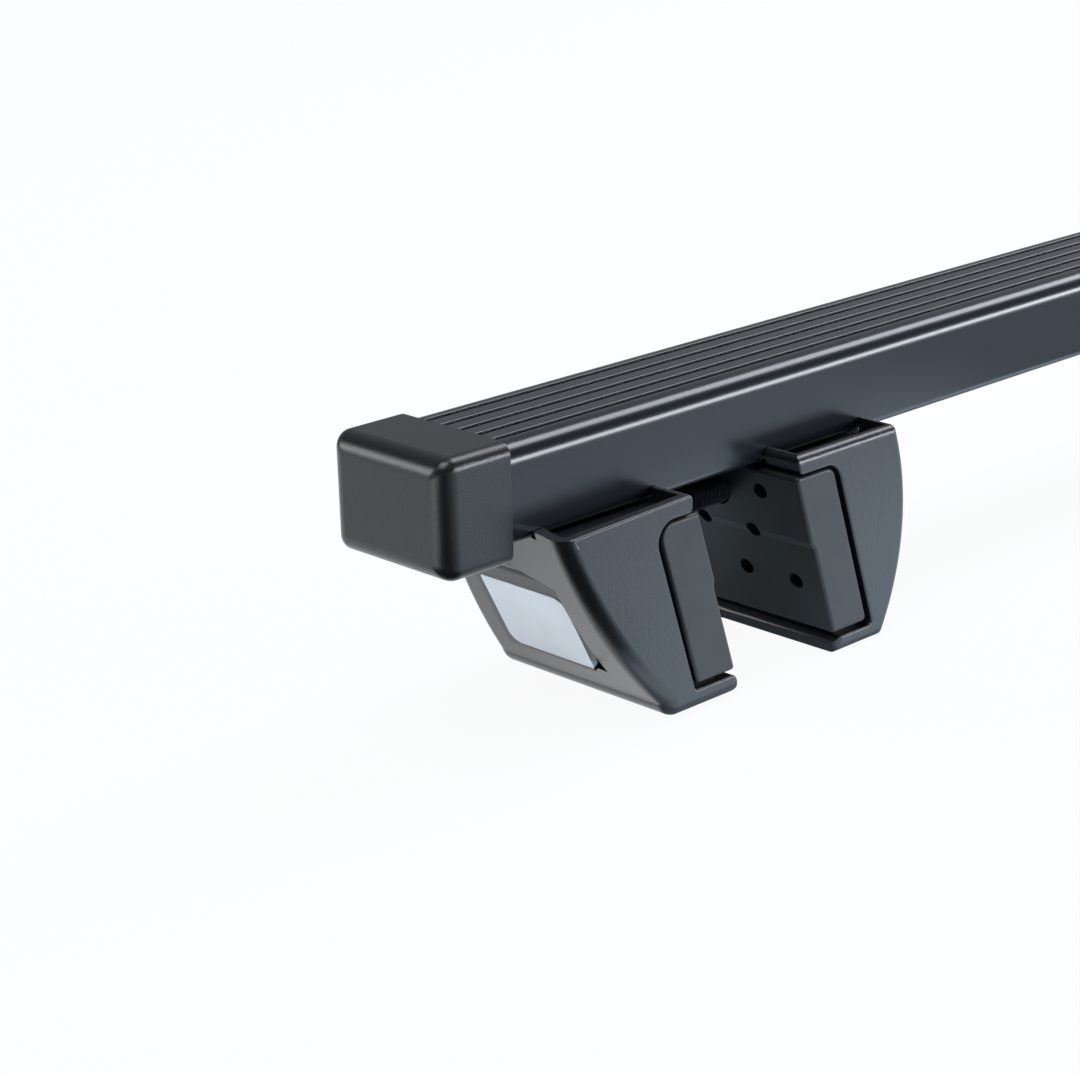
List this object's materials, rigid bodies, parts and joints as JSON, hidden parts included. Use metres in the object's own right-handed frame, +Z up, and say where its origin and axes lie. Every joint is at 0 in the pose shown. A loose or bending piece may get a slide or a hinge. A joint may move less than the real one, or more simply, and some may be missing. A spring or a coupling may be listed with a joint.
{
  "type": "roof rack crossbar",
  "caption": "Coated steel roof crossbar with ribbed top, end caps and two screw-clamped feet that grip a car's raised roof rails.",
  "frame": {"origin": "mid-length and mid-width of the bar, in the plane of the feet's lowest faces", "axes": "+X along the bar, +Y across it along the car, +Z up"},
  "size_m": [1.2, 0.052, 0.0664],
  "materials": {
    "bar_coating": "smooth semi-gloss extruded coating",
    "zinc_steel": "zinc plated",
    "screw_steel": "black oxide",
    "cap_plastic": "fine moulded texture",
    "jaw_nylon": "glass-filled, fine moulded texture",
    "pad_rubber": "smooth moulded rubber",
    "badge_plate": "plain glossy white plate"
  },
  "bodies": {
    "bar": {"bar_tube": "zinc_steel", "bar_coating": "bar_coating", "end_cap_left": "cap_plastic", "end_cap_right": "cap_plastic"},
    "foot_left": {"outer_jaw_left": "jaw_nylon", "outer_pad_left": "pad_rubber", "anchor_block_left": "zinc_steel", "clamp_washer_left": "zinc_steel", "cover_pin_left": "zinc_steel"},
    "screw_left": {"clamp_screw_left": "screw_steel"},
    "jaw_left": {"inner_jaw_left": "jaw_nylon", "inner_pad_left": "pad_rubber", "clamp_block_left": "zinc_steel"},
    "cover_left": {"cover_left": "jaw_nylon", "badge_plate_left": "badge_plate"},
    "foot_right": {"outer_jaw_right": "jaw_nylon", "outer_pad_right": "pad_rubber", "anchor_block_right": "zinc_steel", "clamp_washer_right": "zinc_steel", "cover_pin_right": "zinc_steel"},
    "screw_right": {"clamp_screw_right": "screw_steel"},
    "jaw_right": {"inner_jaw_right": "jaw_nylon", "inner_pad_right": "pad_rubber", "clamp_block_right": "zinc_steel"},
    "cover_right": {"cover_right": "jaw_nylon", "badge_plate_right": "badge_plate"}
  },
  "joints": [
    {"name": "foot_slide_left", "type": "slide", "parent": "bar", "child": "foot_left", "axis": [1, 0, 0], "range_m": [0, 0.15]},
    {"name": "clamp_turn_left", "type": "hinge", "parent": "foot_left", "child": "screw_left", "pos_m": [-0.54, 0, 0.036], "axis": [1, 0, 0], "range_deg": [-4033, 3457]},
    {"name": "jaw_slide_left", "type": "slide", "parent": "foot_left", "child": "jaw_left", "axis": [-1, 0, 0], "range_m": [-0.014, 0.012]},
    {"name": "cover_hinge_left", "type": "hinge", "parent": "foot_left", "child": "cover_left", "pos_m": [-0.56508, 0, 0.03216], "axis": [0, 1, 0], "range_deg": [0, 90]},
    {"name": "foot_slide_right", "type": "slide", "parent": "bar", "child": "foot_right", "axis": [-1, 0, 0], "range_m": [0, 0.15]},
    {"name": "clamp_turn_right", "type": "hinge", "parent": "foot_right", "child": "screw_right", "pos_m": [0.54, 0, 0.036], "axis": [-1, 0, 0], "range_deg": [-4033, 3457]},
    {"name": "jaw_slide_right", "type": "slide", "parent": "foot_right", "child": "jaw_right", "axis": [1, 0, 0], "range_m": [-0.014, 0.012]},
    {"name": "cover_hinge_right", "type": "hinge", "parent": "foot_right", "child": "cover_right", "pos_m": [0.56508, 0, 0.03216], "axis": [0, -1, 0], "range_deg": [0, 90]}
  ],
  "couplings": [
    {"joint": "clamp_turn_left", "follows": "jaw_slide_left", "rad_per_m": 5026.5},
    {"joint": "clamp_turn_right", "follows": "jaw_slide_right", "rad_per_m": 5026.5}
  ]
}
